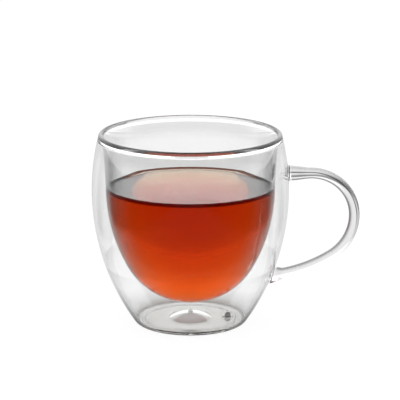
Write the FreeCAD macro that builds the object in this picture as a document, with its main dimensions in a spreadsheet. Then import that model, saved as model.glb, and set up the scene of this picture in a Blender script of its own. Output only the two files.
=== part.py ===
"""Double-walled glass mug of tea.

Two blown glass walls meet only in a fused bead at the rim, with sealed air between them, and a
glass rod handle is fused to the outer wall. The tea stands in the inner vessel, with a meniscus.
Millimetres; +Z is up the mug's axis from the surface it stands on, and the handle is on +X.
"""
import FreeCAD, Part
import math
import os
import Sketcher

# Driving sizes: name, millimetres (or degrees where the name says so), what it is.
SIZES = [
    ("height", 85.0, "rim crest above the table"),
    ("belly_radius", 43.2, "widest outside radius"),
    ("belly_height", 59.0, "height of the widest point"),
    ("side_arc", 101.0, "radius of the arc from belly to base"),
    ("wall", 1.0, "outer wall and base"),
    ("rim_radius", 39.05, "radius of the rim crest"),
    ("bead", 1.0, "radius of the fused rim bead"),
    ("corner", 3.0, "outside corner between side and foot ring"),
    ("ring_inner", 20.4, "inner radius of the foot ring that touches the table"),
    ("ring_bend", 1.2, "rounding from the foot ring up into the recess"),
    ("recess", 0.6, "clearance under the base inside the foot ring"),
    ("punt_height", 3.2, "top of the pushed-up centre of the base, underside"),
    ("punt_arc", 18.0, "dome radius of the pushed-up centre"),
    ("punt_bend", 3.0, "bend between the dome and the recess"),
    ("gap_corner", 2.2, "bottom corner of the air space"),
    ("gap_top", 0.25, "rounding of the air space under the rim bead"),
    ("vessel_radius", 36.1, "inside radius of the inner vessel"),
    ("vessel_wall", 1.0, "wall of the inner vessel"),
    ("vessel_shoulder", 61.0, "height where the inner vessel starts to curve in"),
    ("vessel_arc", 71.7, "inside radius of the vessel's side arc"),
    ("vessel_floor", 10.5, "inside bottom of the vessel"),
    ("flare_height", 74.0, "height where the vessel starts to flare to the rim"),
    ("tea_level", 61.4, "surface of the tea"),
    ("meniscus_rise", 0.9, "climb of the tea up the glass"),
    ("meniscus_width", 2.2, "width of the meniscus"),
    ("handle_start", 39.0, "where the top arm starts, inside the outer wall"),
    ("handle_corner", 53.0, "where the top arm starts to bend down"),
    ("handle_top", 67.1, "centre height of the top arm"),
    ("handle_bow", 19.0, "bend radius of the upper bow"),
    ("handle_grip", 21.6, "bend radius of the grip below the bow"),
    ("handle_grip_degrees", 58.0, "turn of the grip"),
    ("handle_arm", 62.0, "bend radius of the lower arm"),
    ("handle_arm_degrees", 28.0, "turn of the lower arm, to its end inside the outer wall"),
    ("rod_thickness", 4.7, "handle rod, in the plane of the handle"),
    ("rod_depth", 7.0, "handle rod, across the plane of the handle"),
    ("pad_spread", 1.35, "how much wider the rod is where it is fused on"),
    ("pad_blend", 1.2, "rounding where a pad of the handle runs into the wall"),
    ("pad_seat", 0.6, "how far inside the belly's radius the upper pad has its full size"),
    ("pad_swell", 1.2, "how far outside it the rod is half swelled"),
    ("pad_reach", 4.0, "how far outside it the rod starts to swell"),
    ("vent_offset", 16.6, "distance of the sealed vent from the axis"),
    ("vent_radius", 1.5, "sealed vent, a drop of glass on the floor of the air space"),
    ("seal_radius", 0.9, "closing drop at the centre of the base"),
]
SIZE = {name: value for name, value, note in SIZES}
POUR_CLEARANCE = 5.0    # the cut for the drinking space starts this far above the rim
BOW_STATIONS = 4        # rod sections on the upper bow
GRIP_STATIONS = 3
ARM_STATIONS = 2
ARM_PLAIN, ARM_SWELL, ARM_SEAT, ARM_END = 0.74, 0.83, 0.90, 1.0     # shares of the arm's turn
VENT_LIFT = 1.1         # the vent's centre above the recess, in its own radii

# Radii that follow from the arcs being tangent, as expressions of the sheet.
SHOULDER_ARC = (
    "((Sizes.belly_radius - Sizes.rim_radius)^2"
    " + (Sizes.height - Sizes.bead - Sizes.belly_height)^2 - Sizes.bead^2)"
    " / (2 * (Sizes.belly_radius - Sizes.rim_radius - Sizes.bead))"
)
FLARE_ARC = (
    "((Sizes.rim_radius - Sizes.vessel_radius)^2"
    " + (Sizes.height - Sizes.bead - Sizes.flare_height)^2 - Sizes.bead^2)"
    " / (2 * (Sizes.rim_radius - Sizes.vessel_radius - Sizes.bead))"
)
START, END, CENTRE = 1, 2, 3     # a sketch curve's points
X_AXIS, Y_AXIS = -1, -2          # a sketch's own axes
ORIGIN = (-1, 1)


def make_sheet(doc):
    sheet = doc.addObject("Spreadsheet::Sheet", "Sizes")
    for row, (name, value, note) in enumerate(SIZES, 1):
        sheet.set(f"A{row}", name)
        sheet.set(f"B{row}", str(value))
        sheet.set(f"C{row}", note)
        sheet.setAlias(f"B{row}", name)
    doc.recompute()


def make_body(doc, name):
    body = doc.addObject("PartDesign::Body", name)
    body.Label = name
    return body


def plane_sketch(body, role, name):
    """A sketch on one of the body's own origin planes."""
    sketch = body.newObject("Sketcher::SketchObject", name)
    plane = next(f for f in body.Origin.OriginFeatures if f.Role == role)
    sketch.AttachmentSupport = [(plane, "")]
    sketch.MapMode = "FlatFace"
    return sketch


# ---- outlines -------------------------------------------------------------------------------

def touch(inner, outer):
    """Where a circle touches the larger circle that holds it; each is ((x, z), radius)."""
    (xi, zi), ri = inner
    (xo, zo), _ = outer
    reach = math.hypot(xi - xo, zi - zo)
    return xi + ri * (xi - xo) / reach, zi + ri * (zi - zo) / reach


def touch_outside(first, second):
    """Where two circles that lie outside each other touch."""
    (x1, z1), r1 = first
    (x2, z2), _ = second
    reach = math.hypot(x2 - x1, z2 - z1)
    return x1 + r1 * (x2 - x1) / reach, z1 + r1 * (z2 - z1) / reach


def arc(circle, start, end):
    """The arc of a circle, anticlockwise from one point to the other."""
    (x, z), radius = circle
    curve = Part.Circle(FreeCAD.Vector(x, z, 0), FreeCAD.Vector(0, 0, 1), radius)
    first = math.atan2(start[1] - z, start[0] - x)
    last = math.atan2(end[1] - z, end[0] - x)
    if last <= first:
        last += 2 * math.pi
    return Part.ArcOfCircle(curve, first, last)


def line(start, end):
    return Part.LineSegment(FreeCAD.Vector(*start, 0), FreeCAD.Vector(*end, 0))


class Outline:
    """A closed sketch outline whose edges are constrained as they are named."""

    def __init__(self, sketch, edges):
        self.sketch = sketch
        self.number = {name: sketch.addGeometry(edge) for name, edge in edges.items()}

    def add(self, kind, *items):
        numbers = [self.number.get(item, item) for item in items]
        return self.sketch.addConstraint(Sketcher.Constraint(kind, *numbers))

    def smooth(self, *joints):
        for first, first_end, second, second_end in joints:
            self.add("Tangent", first, first_end, second, second_end)

    def meet(self, *joints):
        for first, first_end, second, second_end in joints:
            self.add("Coincident", first, first_end, second, second_end)

    def on_axis(self, *points):
        for edge, end in points:
            self.add("PointOnObject", edge, end, Y_AXIS)

    def radius(self, edge, expression):
        value = self.sketch.Geometry[self.number[edge]].Radius
        self.bind(self.add("Radius", edge, value), expression)

    def across(self, edge, end, expression):
        value = self.sketch.getPoint(self.number[edge], end).x
        self.bind(self.add("DistanceX", *ORIGIN, edge, end, value), expression)

    def up(self, edge, end, expression):
        value = self.sketch.getPoint(self.number[edge], end).y
        self.bind(self.add("DistanceY", *ORIGIN, edge, end, value), expression)

    def bind(self, number, expression):
        self.sketch.setExpression(f"Constraints[{number}]", expression)


def bead_circle():
    return (SIZE["rim_radius"], SIZE["height"] - SIZE["bead"]), SIZE["bead"]


def shoulder_circle(inset):
    """The outer wall's arc from belly to rim, or its inside face when inset by the wall."""
    drop = SIZE["belly_radius"] - SIZE["rim_radius"]
    rise = SIZE["height"] - SIZE["bead"] - SIZE["belly_height"]
    radius = (drop ** 2 + rise ** 2 - SIZE["bead"] ** 2) / (2 * (drop - SIZE["bead"]))
    return (SIZE["belly_radius"] - radius, SIZE["belly_height"]), radius - inset


def side_circle(inset):
    centre = (SIZE["belly_radius"] - SIZE["side_arc"], SIZE["belly_height"])
    return centre, SIZE["side_arc"] - inset


def corner_circle(radius, floor, side):
    """The circle that rounds the side into a level floor."""
    (x, z), reach = side
    across = math.sqrt((reach - radius) ** 2 - (z - floor - radius) ** 2)
    return (x + across, floor + radius), radius


def punt_circles(offset):
    """The base's centre dome and the bend around it, for a face that far above the underside."""
    dome = (0.0, SIZE["punt_height"] - SIZE["punt_arc"]), SIZE["punt_arc"] + offset
    level = SIZE["recess"] + offset
    bend = SIZE["punt_bend"] - offset
    fall = level + bend - dome[0][1]
    across = math.sqrt((dome[1] + bend) ** 2 - fall ** 2)
    return dome, ((across, level + bend), bend)


def flare_circle(inset):
    reach = SIZE["rim_radius"] - SIZE["vessel_radius"]
    rise = SIZE["height"] - SIZE["bead"] - SIZE["flare_height"]
    radius = (reach ** 2 + rise ** 2 - SIZE["bead"] ** 2) / (2 * (reach - SIZE["bead"]))
    return (SIZE["vessel_radius"] + radius, SIZE["flare_height"]), radius - inset


def vessel_circles(offset):
    """The inner vessel's side arc and bottom arc, inside face or, when offset, outside face."""
    radius, rise = SIZE["vessel_arc"], SIZE["vessel_shoulder"] - SIZE["vessel_floor"]
    reach = radius - SIZE["vessel_radius"]
    bottom = (radius ** 2 - reach ** 2 - rise ** 2) / (2 * (radius - rise))
    side = (-reach, SIZE["vessel_shoulder"]), radius + offset
    return side, ((0.0, SIZE["vessel_floor"] + bottom), bottom + offset)


def outer_outline(sketch):
    """Half section of the outside, filled in up to the rim."""
    dome, bend = punt_circles(0.0)
    side, shoulder, bead = side_circle(0.0), shoulder_circle(0.0), bead_circle()
    corner = corner_circle(SIZE["corner"], 0.0, side)
    drop = math.acos(1 - SIZE["recess"] / SIZE["ring_bend"])
    ring_edge = (SIZE["ring_inner"], 0.0)
    ring_centre = (ring_edge[0] - SIZE["ring_bend"] * math.sin(drop), SIZE["recess"] - SIZE["ring_bend"])
    ring_top = (ring_centre[0], SIZE["recess"])
    punt_edge = touch_outside(dome, bend)
    punt_top, bend_foot = (0.0, SIZE["punt_height"]), (bend[0][0], SIZE["recess"])
    ring_out, corner_top = (corner[0][0], 0.0), touch(corner, side)
    belly = (SIZE["belly_radius"], SIZE["belly_height"])
    bead_side, crest = touch(bead, shoulder), (SIZE["rim_radius"], SIZE["height"])
    top = (0.0, SIZE["height"])
    outline = Outline(sketch, {
        "punt": arc(dome, punt_edge, punt_top),
        "bend": arc(bend, punt_edge, bend_foot),
        "recess": line(bend_foot, ring_top),
        "ring_bend": arc((ring_centre, SIZE["ring_bend"]), ring_edge, ring_top),
        "ring": line(ring_edge, ring_out),
        "corner": arc(corner, ring_out, corner_top),
        "side": arc(side, corner_top, belly),
        "shoulder": arc(shoulder, belly, bead_side),
        "bead": arc(bead, bead_side, crest),
        "top": line(crest, top),
        "axis": line(top, punt_top),
    })
    outline.smooth(
        ("punt", START, "bend", START), ("bend", END, "recess", START),
        ("recess", END, "ring_bend", END), ("ring", END, "corner", START),
        ("corner", END, "side", START), ("side", END, "shoulder", START),
        ("shoulder", END, "bead", START), ("bead", END, "top", START),
    )
    outline.meet(
        ("ring_bend", START, "ring", START), ("top", END, "axis", START), ("axis", END, "punt", END),
    )
    outline.on_axis(("punt", CENTRE), ("punt", END), ("top", END))
    outline.add("Horizontal", "recess")
    outline.add("Horizontal", "top")
    outline.add("PointOnObject", "ring", START, X_AXIS)
    outline.add("PointOnObject", "ring", END, X_AXIS)
    outline.add("Horizontal", "side", CENTRE, "side", END)
    outline.radius("punt", "Sizes.punt_arc")
    outline.up("punt", END, "Sizes.punt_height")
    outline.radius("bend", "Sizes.punt_bend")
    outline.up("recess", START, "Sizes.recess")
    outline.radius("ring_bend", "Sizes.ring_bend")
    outline.across("ring", START, "Sizes.ring_inner")
    outline.radius("corner", "Sizes.corner")
    outline.radius("side", "Sizes.side_arc")
    outline.across("side", END, "Sizes.belly_radius")
    outline.up("side", END, "Sizes.belly_height")
    outline.radius("bead", "Sizes.bead")
    outline.across("bead", END, "Sizes.rim_radius")
    outline.up("top", END, "Sizes.height")


def drinking_outline(sketch):
    """Half section of the space inside the inner vessel, from its floor out past the rim."""
    side, bottom = vessel_circles(0.0)
    flare, bead = flare_circle(0.0), bead_circle()
    floor, bottom_edge = (0.0, SIZE["vessel_floor"]), touch(bottom, side)
    shoulder = (SIZE["vessel_radius"], SIZE["vessel_shoulder"])
    flare_foot = (SIZE["vessel_radius"], SIZE["flare_height"])
    flare_top, crest = touch(bead, flare), (SIZE["rim_radius"], SIZE["height"])
    above = SIZE["height"] + POUR_CLEARANCE
    outline = Outline(sketch, {
        "bottom": arc(bottom, floor, bottom_edge),
        "side": arc(side, bottom_edge, shoulder),
        "straight": line(shoulder, flare_foot),
        "flare": arc(flare, flare_top, flare_foot),
        "bead": arc(bead, crest, flare_top),
        "mouth": line(crest, (SIZE["rim_radius"], above)),
        "lid": line((SIZE["rim_radius"], above), (0.0, above)),
        "axis": line((0.0, above), floor),
    })
    outline.smooth(
        ("bottom", END, "side", START), ("side", END, "straight", START),
        ("straight", END, "flare", END), ("flare", START, "bead", END),
    )
    outline.meet(
        ("bead", START, "mouth", START), ("mouth", END, "lid", START),
        ("lid", END, "axis", START), ("axis", END, "bottom", START),
    )
    outline.on_axis(("bottom", CENTRE), ("bottom", START), ("lid", END))
    outline.add("Vertical", "straight")
    outline.add("Vertical", "mouth")
    outline.add("Horizontal", "lid")
    outline.add("Vertical", "bead", CENTRE, "bead", START)
    outline.up("bottom", START, "Sizes.vessel_floor")
    outline.radius("side", "Sizes.vessel_arc")
    outline.across("straight", START, "Sizes.vessel_radius")
    outline.up("straight", START, "Sizes.vessel_shoulder")
    outline.up("straight", END, "Sizes.flare_height")
    outline.radius("bead", "Sizes.bead")
    outline.across("bead", START, "Sizes.rim_radius")
    outline.up("bead", START, "Sizes.height")
    outline.up("mouth", END, f"Sizes.height + {POUR_CLEARANCE}")


def air_outline(sketch):
    """Half section of the sealed air space between the two walls."""
    wall, vessel_wall = SIZE["wall"], SIZE["vessel_wall"]
    dome, bend = punt_circles(wall)
    side, shoulder = side_circle(wall), shoulder_circle(wall)
    level = SIZE["recess"] + wall
    corner = corner_circle(SIZE["gap_corner"], level, side)
    vessel_side, vessel_bottom = vessel_circles(vessel_wall)
    flare = flare_circle(vessel_wall)
    top = gap_top_circle(shoulder, flare)
    punt_edge, punt_top = touch_outside(dome, bend), (0.0, SIZE["punt_height"] + wall)
    bend_foot, floor_edge = (bend[0][0], level), (corner[0][0], level)
    belly = (SIZE["belly_radius"] - wall, SIZE["belly_height"])
    vessel_line = SIZE["vessel_radius"] + vessel_wall
    flare_foot = (vessel_line, SIZE["flare_height"])
    vessel_shoulder = (vessel_line, SIZE["vessel_shoulder"])
    vessel_foot = (0.0, SIZE["vessel_floor"] - vessel_wall)
    vessel_edge = touch(vessel_bottom, vessel_side)
    outline = Outline(sketch, {
        "punt": arc(dome, punt_edge, punt_top),
        "bend": arc(bend, punt_edge, bend_foot),
        "floor": line(bend_foot, floor_edge),
        "corner": arc(corner, floor_edge, touch(corner, side)),
        "side": arc(side, touch(corner, side), belly),
        "shoulder": arc(shoulder, belly, touch(top, shoulder)),
        "top": arc(top, touch(top, shoulder), touch_outside(top, flare)),
        "flare": arc(flare, touch_outside(top, flare), flare_foot),
        "straight": line(flare_foot, vessel_shoulder),
        "vessel_side": arc(vessel_side, vessel_edge, vessel_shoulder),
        "vessel_bottom": arc(vessel_bottom, vessel_foot, vessel_edge),
        "axis": line(vessel_foot, punt_top),
    })
    outline.smooth(
        ("punt", START, "bend", START), ("bend", END, "floor", START),
        ("floor", END, "corner", START), ("corner", END, "side", START),
        ("side", END, "shoulder", START), ("shoulder", END, "top", START),
        ("top", END, "flare", START), ("flare", END, "straight", START),
        ("straight", END, "vessel_side", END), ("vessel_side", START, "vessel_bottom", END),
    )
    outline.meet(("vessel_bottom", START, "axis", START), ("axis", END, "punt", END))
    outline.on_axis(("punt", CENTRE), ("punt", END), ("vessel_bottom", CENTRE), ("vessel_bottom", START))
    outline.add("Horizontal", "floor")
    outline.add("Vertical", "straight")
    outline.add("Horizontal", "side", CENTRE, "side", END)
    outline.radius("punt", "Sizes.punt_arc + Sizes.wall")
    outline.up("punt", END, "Sizes.punt_height + Sizes.wall")
    outline.radius("bend", "Sizes.punt_bend - Sizes.wall")
    outline.up("floor", START, "Sizes.recess + Sizes.wall")
    outline.radius("corner", "Sizes.gap_corner")
    outline.radius("side", "Sizes.side_arc - Sizes.wall")
    outline.across("side", END, "Sizes.belly_radius - Sizes.wall")
    outline.up("side", END, "Sizes.belly_height")
    outline.radius("shoulder", f"{SHOULDER_ARC} - Sizes.wall")
    outline.radius("top", "Sizes.gap_top")
    outline.radius("flare", f"{FLARE_ARC} - Sizes.vessel_wall")
    outline.across("straight", START, "Sizes.vessel_radius + Sizes.vessel_wall")
    outline.up("straight", START, "Sizes.flare_height")
    outline.up("straight", END, "Sizes.vessel_shoulder")
    outline.radius("vessel_side", "Sizes.vessel_arc + Sizes.vessel_wall")
    outline.up("vessel_bottom", START, "Sizes.vessel_floor - Sizes.vessel_wall")


def gap_top_circle(shoulder, flare):
    """The small circle inside the shoulder's arc that also touches the flare's arc from outside."""
    radius = SIZE["gap_top"]
    (xs, zs), rs = shoulder
    (xf, zf), rf = flare
    first, second = rs - radius, rf - radius
    span = math.hypot(xf - xs, zf - zs)
    along = (first ** 2 - second ** 2 + span ** 2) / (2 * span)
    off = math.sqrt(first ** 2 - along ** 2)
    ux, uz = (xf - xs) / span, (zf - zs) / span
    return (xs + along * ux - off * uz, zs + along * uz + off * ux), radius


def tea_outline(sketch):
    """Half section of the tea, wetting the vessel a little above its level."""
    side, bottom = vessel_circles(0.0)
    rise, width = SIZE["meniscus_rise"], SIZE["meniscus_width"]
    curl = (width ** 2 + rise ** 2) / (2 * rise)
    floor, bottom_edge = (0.0, SIZE["vessel_floor"]), touch(bottom, side)
    shoulder = (SIZE["vessel_radius"], SIZE["vessel_shoulder"])
    wetted = (SIZE["vessel_radius"], SIZE["tea_level"] + rise)
    flat_edge = (SIZE["vessel_radius"] - width, SIZE["tea_level"])
    centre = (0.0, SIZE["tea_level"])
    outline = Outline(sketch, {
        "bottom": arc(bottom, floor, bottom_edge),
        "side": arc(side, bottom_edge, shoulder),
        "straight": line(shoulder, wetted),
        "meniscus": arc(((flat_edge[0], flat_edge[1] + curl), curl), flat_edge, wetted),
        "surface": line(flat_edge, centre),
        "axis": line(centre, floor),
    })
    outline.smooth(
        ("bottom", END, "side", START), ("side", END, "straight", START),
        ("meniscus", START, "surface", START),
    )
    outline.meet(
        ("straight", END, "meniscus", END), ("surface", END, "axis", START), ("axis", END, "bottom", START),
    )
    outline.on_axis(("bottom", CENTRE), ("bottom", START), ("surface", END))
    outline.add("Vertical", "straight")
    outline.add("Horizontal", "surface")
    outline.up("bottom", START, "Sizes.vessel_floor")
    outline.radius("side", "Sizes.vessel_arc")
    outline.across("straight", START, "Sizes.vessel_radius")
    outline.up("straight", START, "Sizes.vessel_shoulder")
    outline.up("straight", END, "Sizes.tea_level + Sizes.meniscus_rise")
    outline.across("meniscus", START, "Sizes.vessel_radius - Sizes.meniscus_width")
    outline.up("surface", END, "Sizes.tea_level")


# ---- handle ---------------------------------------------------------------------------------

def handle_stations():
    """Where the rod's sections stand, as expressions: across, height, turn in degrees, spread.

    The rod leaves the wall level, bends down through the bow, tightens into the grip and comes
    back to the wall in a long arc. Spread is 1 for the plain rod and pad_spread where it is fused.
    """
    bow_x, bow_z = "Sizes.handle_corner", "(Sizes.handle_top - Sizes.handle_bow)"
    grip_x = f"({bow_x} + Sizes.handle_bow - Sizes.handle_grip)"
    lean = "Sizes.handle_grip_degrees"
    longer = "(Sizes.handle_arm - Sizes.handle_grip)"
    arm_x = f"({grip_x} - {longer} * cos({lean} * 1 deg))"
    arm_z = f"({bow_z} + {longer} * sin({lean} * 1 deg))"
    pad, half_pad, rod = "Sizes.pad_spread", "(1 + (Sizes.pad_spread - 1) / 4)", "1"

    stations = [
        ("Sizes.handle_start", "Sizes.handle_top", "0", pad),
        ("Sizes.belly_radius - Sizes.pad_seat", "Sizes.handle_top", "0", pad),
        ("Sizes.belly_radius + Sizes.pad_swell", "Sizes.handle_top", "0", half_pad),
        ("Sizes.belly_radius + Sizes.pad_reach", "Sizes.handle_top", "0", rod),
    ]
    for step in range(BOW_STATIONS + 1):
        turn = f"{90 * step / BOW_STATIONS}"
        stations.append((
            f"{bow_x} + Sizes.handle_bow * sin({turn} deg)",
            f"{bow_z} + Sizes.handle_bow * cos({turn} deg)", turn, rod,
        ))
    for step in range(1, GRIP_STATIONS + 1):
        turn = f"({lean} * {step} / {GRIP_STATIONS})"
        stations.append((
            f"{grip_x} + Sizes.handle_grip * cos({turn} * 1 deg)",
            f"{bow_z} - Sizes.handle_grip * sin({turn} * 1 deg)", f"90 + {turn}", rod,
        ))
    arm = [(step / (ARM_STATIONS + 1), rod) for step in range(1, ARM_STATIONS + 1)]
    arm += [(ARM_PLAIN, rod), (ARM_SWELL, half_pad), (ARM_SEAT, pad), (ARM_END, pad)]
    for share, spread in arm:
        turn = f"({lean} + Sizes.handle_arm_degrees * {share:.4f})"
        stations.append((
            f"{arm_x} + Sizes.handle_arm * cos({turn} * 1 deg)",
            f"{arm_z} - Sizes.handle_arm * sin({turn} * 1 deg)", f"90 + {turn}", spread,
        ))
    return stations


def rod_section(body, number, station):
    """An oval sketch across the rod, standing at its station."""
    across, height, turn, spread = station
    sketch = plane_sketch(body, "YZ_Plane", f"RodSection{number:02d}")
    sketch.AttachmentOffset = FreeCAD.Placement(
        FreeCAD.Vector(0, 0, 0), FreeCAD.Rotation(FreeCAD.Vector(1, 0, 0), 1.0)
    )
    sketch.setExpression("AttachmentOffset.Base.y", height)
    sketch.setExpression("AttachmentOffset.Base.z", across)
    sketch.setExpression("AttachmentOffset.Rotation.Angle", turn)
    wide, thick = SIZE["rod_depth"] / 2, SIZE["rod_thickness"] / 2
    tips = FreeCAD.Vector(wide, 0, 0), FreeCAD.Vector(0, thick, 0)
    sketch.addGeometry(Part.Ellipse(*tips, FreeCAD.Vector(0, 0, 0)))
    sketch.exposeInternalGeometry(0)
    long_axis, short_axis = 1, 2
    sketch.addConstraint(Sketcher.Constraint("Coincident", 0, CENTRE, *ORIGIN))
    sketch.addConstraint(Sketcher.Constraint("Horizontal", long_axis))
    depth = sketch.addConstraint(Sketcher.Constraint("Distance", long_axis, 2 * wide))
    sketch.setExpression(f"Constraints[{depth}]", f"Sizes.rod_depth * {spread}")
    thickness = sketch.addConstraint(Sketcher.Constraint("Distance", short_axis, 2 * thick))
    sketch.setExpression(f"Constraints[{thickness}]", f"Sizes.rod_thickness * {spread}")
    return sketch


def add_handle(body):
    sections = [rod_section(body, n, station) for n, station in enumerate(handle_stations(), 1)]
    loft = body.newObject("PartDesign::AdditiveLoft", "HandleRod")
    loft.Profile = sections[0]
    loft.Sections = sections[1:]
    loft.Ruled = False
    return loft


def blend_pads(doc, body, rod):
    """Rounds the two seams where the rod's pads run into the outer wall."""
    doc.recompute()
    seams = []
    for number, edge in enumerate(rod.Shape.Edges, 1):
        surfaces = [type(face.Surface) for face in rod.Shape.ancestorsOfType(edge, Part.Face)]
        if Part.BSplineSurface in surfaces and len(set(surfaces)) > 1:
            seams.append(f"Edge{number}")
    if len(seams) != 2:
        raise RuntimeError(f"the rod meets the wall along {len(seams)} edges")
    blend = body.newObject("PartDesign::Fillet", "PadBlend")
    blend.Base = (rod, seams)
    blend.setExpression("Radius", "Sizes.pad_blend")
    return blend


# ---- solids ---------------------------------------------------------------------------------

def turned(body, kind, name, outline):
    """A full turn of an outline about the mug's axis, added or cut away; its seam is on +Y."""
    sketch = plane_sketch(body, "YZ_Plane", f"{name}Outline")
    outline(sketch)
    feature = body.newObject(kind, name)
    feature.Profile = sketch
    feature.ReferenceAxis = (sketch, ["V_Axis"])
    feature.Angle = 360.0
    return feature


def glass_drop(body, name, radius, across, height):
    """A ball of glass melted half into the floor of the air space."""
    drop = body.newObject("PartDesign::AdditiveSphere", name)
    plane = next(f for f in body.Origin.OriginFeatures if f.Role == "XY_Plane")
    drop.AttachmentSupport = [(plane, "")]
    drop.MapMode = "FlatFace"
    drop.setExpression("Radius", radius)
    drop.setExpression("AttachmentOffset.Base.x", across)
    drop.setExpression("AttachmentOffset.Base.z", height)
    return drop


def make_glass(doc):
    body = make_body(doc, "glass_mug")
    turned(body, "PartDesign::Revolution", "OuterForm", outer_outline)
    blend_pads(doc, body, add_handle(body))
    turned(body, "PartDesign::Groove", "DrinkingSpace", drinking_outline)
    turned(body, "PartDesign::Groove", "AirSpace", air_outline)
    vent_height = f"Sizes.recess + Sizes.vent_radius * {VENT_LIFT}"
    glass_drop(body, "SealedVent", "Sizes.vent_radius", "Sizes.vent_offset", vent_height)
    glass_drop(body, "ClosingDrop", "Sizes.seal_radius", "0", "Sizes.punt_height + Sizes.wall")
    return body


def make_tea(doc):
    body = make_body(doc, "tea")
    turned(body, "PartDesign::Revolution", "TeaFill", tea_outline)
    return body


def check(doc):
    for item in doc.Objects:
        faults = {"Invalid", "Error"} & set(item.State)
        if faults:
            raise RuntimeError(f"{item.Name} is {', '.join(sorted(faults))}")


def main():
    doc = FreeCAD.newDocument("Mug")
    make_sheet(doc)
    bodies = [make_glass(doc), make_tea(doc)]
    doc.recompute()
    check(doc)
    os.makedirs("parts", exist_ok=True)
    for body in bodies:
        shape = body.Shape
        if shape.isNull() or not shape.isValid() or len(shape.Solids) != 1:
            raise RuntimeError(f"{body.Label} isn't one valid solid")
        print(f"{body.Label}: {shape.Volume / 1000:.2f} ml, box {shape.BoundBox}")
        shape.exportStep(f"parts/{body.Label}.step")


main()
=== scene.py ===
"""Looks for a double-walled glass mug of tea: blown clear glass, a fused handle, black tea, a studio."""
import math

import bmesh
import bpy
from bpy.props import FloatProperty, FloatVectorProperty, PointerProperty
from mathutils import Matrix, Vector


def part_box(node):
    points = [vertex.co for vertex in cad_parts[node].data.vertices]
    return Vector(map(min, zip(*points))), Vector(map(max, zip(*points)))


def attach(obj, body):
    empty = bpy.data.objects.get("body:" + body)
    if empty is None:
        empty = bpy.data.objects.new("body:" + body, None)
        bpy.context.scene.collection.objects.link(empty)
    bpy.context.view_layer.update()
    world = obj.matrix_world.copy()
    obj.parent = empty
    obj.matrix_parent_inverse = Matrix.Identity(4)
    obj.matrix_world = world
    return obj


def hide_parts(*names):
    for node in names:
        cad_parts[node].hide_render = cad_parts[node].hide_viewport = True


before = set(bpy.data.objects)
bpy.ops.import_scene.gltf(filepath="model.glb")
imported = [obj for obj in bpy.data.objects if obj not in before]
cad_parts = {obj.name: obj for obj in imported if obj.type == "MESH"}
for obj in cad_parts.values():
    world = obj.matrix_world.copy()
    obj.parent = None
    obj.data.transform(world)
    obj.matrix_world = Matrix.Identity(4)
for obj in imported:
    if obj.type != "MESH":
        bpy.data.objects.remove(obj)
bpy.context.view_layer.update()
GLASS_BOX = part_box("glass_mug")
TEA_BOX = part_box("tea")

bl_info = {
    "name": "Double-walled glass mug of tea",
    "version": (1, 0, 0),
    "blender": (4, 5, 0),
    "location": "3D View > Sidebar > Mug",
    "description": "Builds a double-walled glass mug, the tea in it and a pale studio around it",
    "category": "Add Mesh",
}

MM = 0.001
TEA_LEVEL = 61.4 * MM
Y_AXIS, Z_AXIS = (0.0, 1.0, 0.0), (0.0, 0.0, 1.0)
JOIN = 1e-7  # vertices nearer than this become one
GLASS_SEGMENTS, TEA_SEGMENTS = 192, 160
GLASS_BOUNCES, MIRROR_BOUNCES, CLEAR_BOUNCES = 36, 12, 16
VENT_LIFT = 1.1  # how far the vent drop's middle lies above the underside, in its own radii


def length(name, description, default, low=0.0):
    """A length in metres that the panel shows in the scene's unit."""
    return FloatProperty(
        name=name, description=description, default=default, min=low,
        unit="LENGTH", subtype="DISTANCE", precision=5,
    )


def angle(name, description, degrees):
    return FloatProperty(
        name=name, description=description, default=math.radians(degrees), unit="ROTATION", subtype="ANGLE",
    )


def share(name, description, default, high=1.0):
    return FloatProperty(
        name=name, description=description, default=default, min=0.0, max=high,
        precision=4, subtype="FACTOR",
    )


def level(name, description, default, unit="NONE"):
    return FloatProperty(name=name, description=description, default=default, min=0.0, unit=unit)


def colour(name, description, default):
    return FloatVectorProperty(
        name=name, description=description, default=default, min=0.0, max=1.0, size=3, subtype="COLOR",
    )


class OuterWallSizes(bpy.types.PropertyGroup):
    """The outer wall, from the middle of its underside to the rim."""

    height: length("Height", "From the foot ring to the top of the rim", GLASS_BOX[1].z)
    belly_radius: length("Belly radius", "Outside, at the widest place", -GLASS_BOX[0].x)
    belly_height: length("Belly height", "Where the wall is widest", 59 * MM)
    side_arc: length("Side arc", "Radius of the wall's curve under the belly", 101 * MM)
    wall: length("Wall", "Thickness of the outer wall", 1.0 * MM)
    rim_radius: length("Rim radius", "To the middle of the rim's bead", 39.05 * MM)
    bead: length("Rim bead", "Radius of the melted edge of the rim", 1.0 * MM)
    corner: length("Corner", "Radius between the side and the foot ring", 3 * MM)
    ring_inner: length("Foot ring", "Inner radius of the ring that the mug stands on", 20.4 * MM)
    ring_bend: length("Ring bend", "Radius of the foot ring's inner edge", 1.2 * MM)
    recess: length("Recess", "How far the underside lies above the foot ring", 0.6 * MM)
    punt_height: length("Punt", "Height of the dome pushed up in the underside", 3.2 * MM)
    punt_arc: length("Punt arc", "Radius of that dome", 18 * MM)
    punt_bend: length("Punt bend", "Radius of the bend around the dome", 3 * MM)
    gap_corner: length("Inside corner", "Radius at the foot of the air space", 2.2 * MM)
    gap_top: length("Seam", "Radius inside the rim, where the two walls melt together", 0.25 * MM)
    vent_offset: length("Vent place", "How far the sealed vent is from the mug's axis", 16.6 * MM)
    vent_radius: length("Vent drop", "Radius of the drop that seals the vent", 1.5 * MM)
    seal_radius: length("Closing drop", "Radius of the drop at the middle of the floor", 0.9 * MM)


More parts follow.
